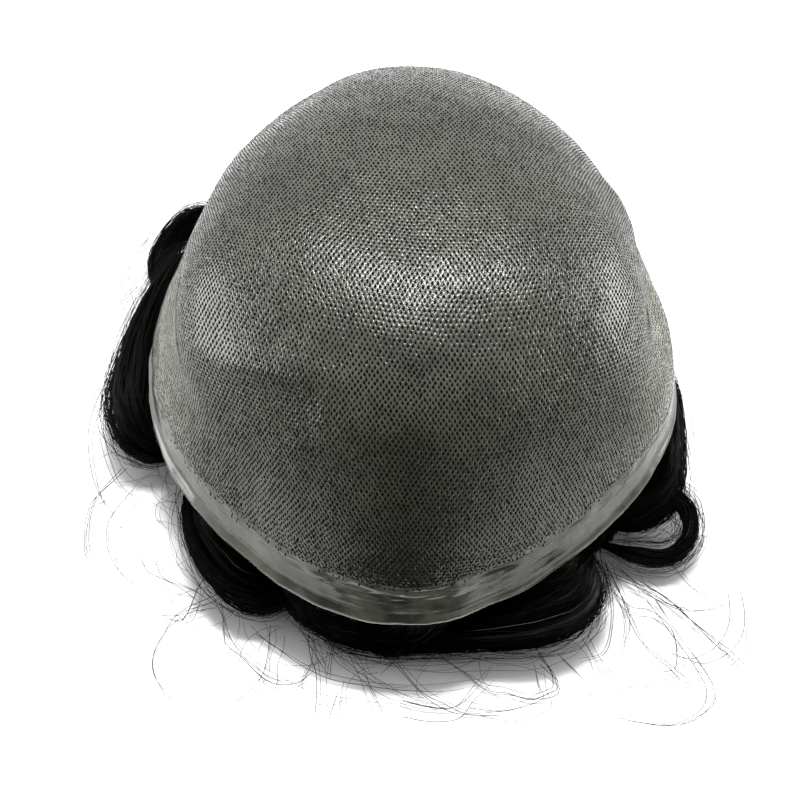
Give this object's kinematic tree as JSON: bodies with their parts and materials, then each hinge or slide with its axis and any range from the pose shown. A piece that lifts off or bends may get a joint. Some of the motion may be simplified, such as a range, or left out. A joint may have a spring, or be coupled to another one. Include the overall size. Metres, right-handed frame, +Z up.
{
  "type": "toupee hairpiece",
  "caption": "Men's skin-base toupee turned inside out: thin poly cap with a clear hair-free edge, lying on its bunched black hair.",
  "frame": {"origin": "on the surface that the piece lies on, under the middle of its bounding box", "axes": "+Z up through the crown of the cap, -Y towards the front edge of the cap, +X across it, to the right seen from the front"},
  "size_m": [0.175, 0.1864, 0.1033],
  "materials": {
    "knotted_skin": "clear poly film, grey from the black knots under it",
    "clear_edge": "clear poly film, double coated",
    "black_hair": "glossy black hair in loose locks"
  },
  "bodies": {
    "root": {"skin_base": "knotted_skin", "edge_band": "clear_edge", "crown_hair": "black_hair", "left_hair": "black_hair", "front_hair": "black_hair", "right_hair": "black_hair", "back_hair": "black_hair"}
  },
  "joints": []
}
